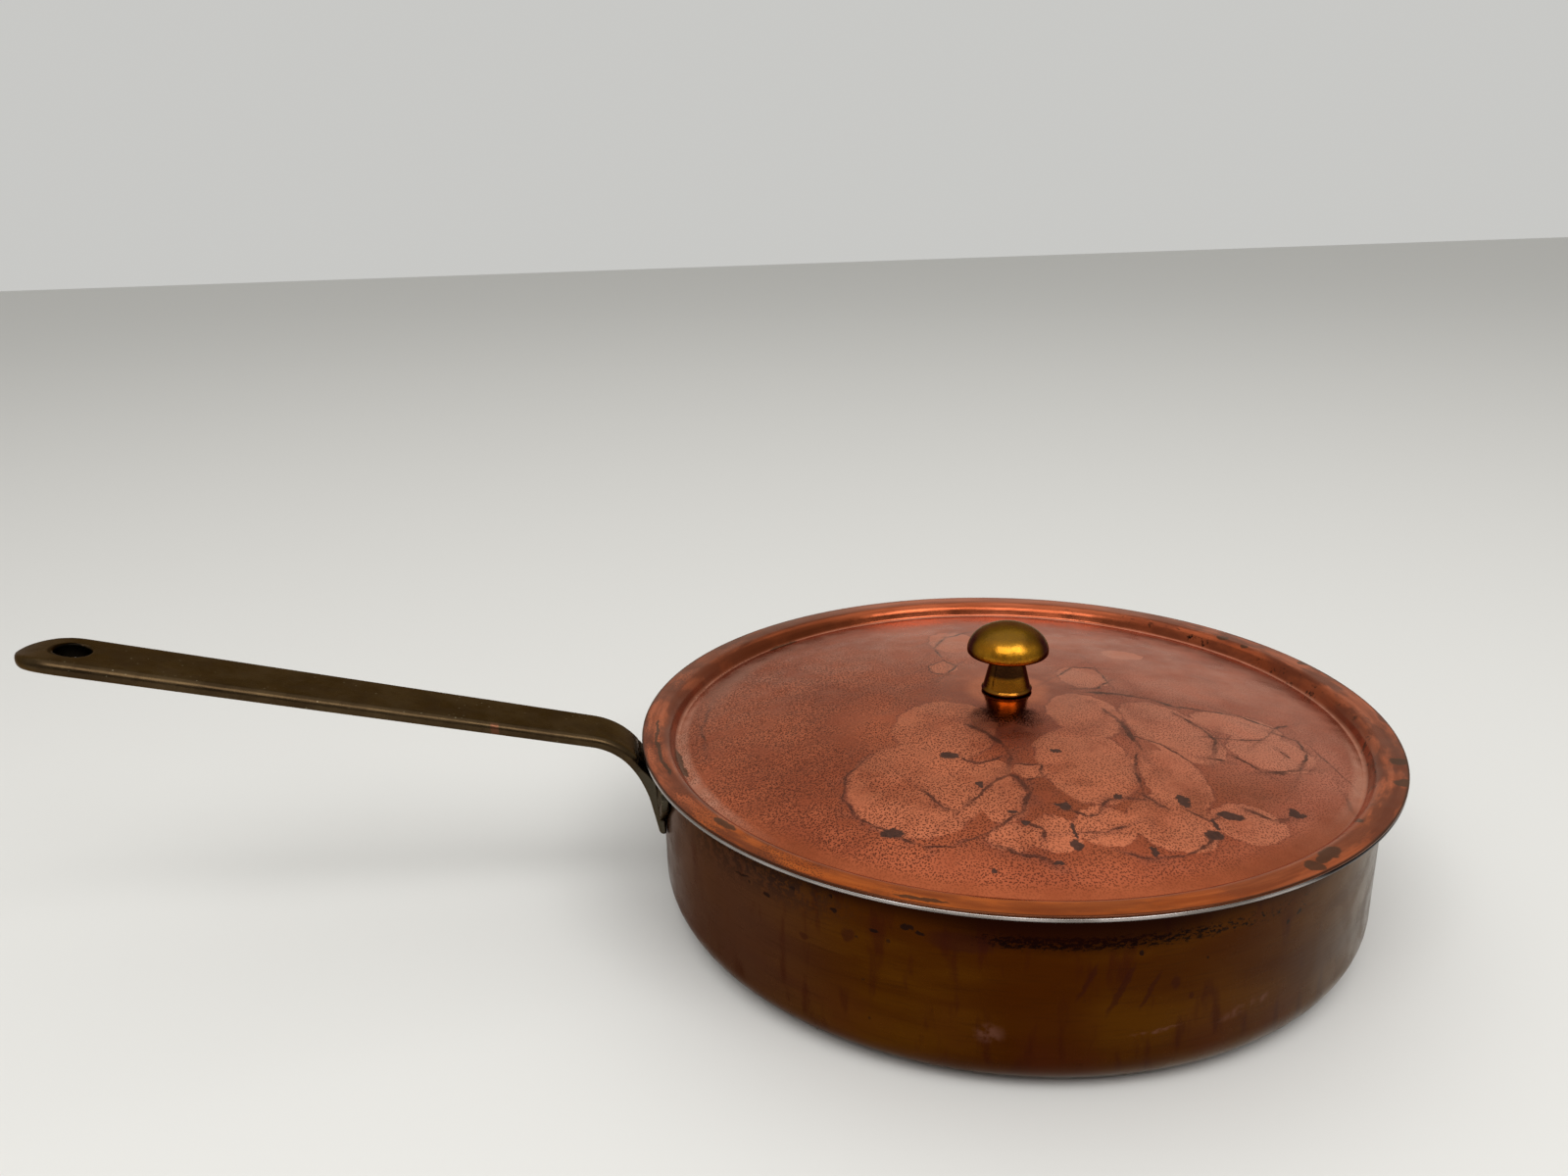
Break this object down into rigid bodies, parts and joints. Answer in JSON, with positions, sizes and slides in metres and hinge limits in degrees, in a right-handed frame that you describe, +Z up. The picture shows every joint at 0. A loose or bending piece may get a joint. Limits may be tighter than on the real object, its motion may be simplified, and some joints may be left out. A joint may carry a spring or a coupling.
{
  "type": "saute pan with lid",
  "caption": "Straight-sided copper saute pan with a long riveted brass handle and an overhanging domed lid that lifts off by a turned brass knob.",
  "frame": {"origin": "centre of the pan's flat base, on the surface it stands on", "axes": "+Z up along the pan's axis; the handle points along -X"},
  "size_m": [0.4375, 0.252, 0.1092],
  "materials": {
    "pan_copper": "copper with a dark brown glossy patina",
    "lid_copper": "pink copper, worn satin, stippled with tarnish",
    "bright_lining": "bright, turned",
    "handle_brass": "cast brass with a dark bronze patina",
    "knob_brass": "polished golden brass",
    "rivet_copper": "hammered copper",
    "fastener_steel": "turned"
  },
  "bodies": {
    "pan": {"pan_body": "pan_copper", "pan_lining": "bright_lining", "handle": "handle_brass", "rivet_upper_left": "rivet_copper", "rivet_upper_right": "rivet_copper", "rivet_lower": "rivet_copper"},
    "lid": {"lid_shell": "lid_copper", "lid_lining": "bright_lining", "knob": "knob_brass", "knob_washer": "fastener_steel", "knob_screw": "fastener_steel"}
  },
  "joints": [
    {"name": "lid_lift", "type": "slide", "parent": "pan", "child": "lid", "axis": [0, 0, 1], "range_m": [0, 0.15]}
  ]
}
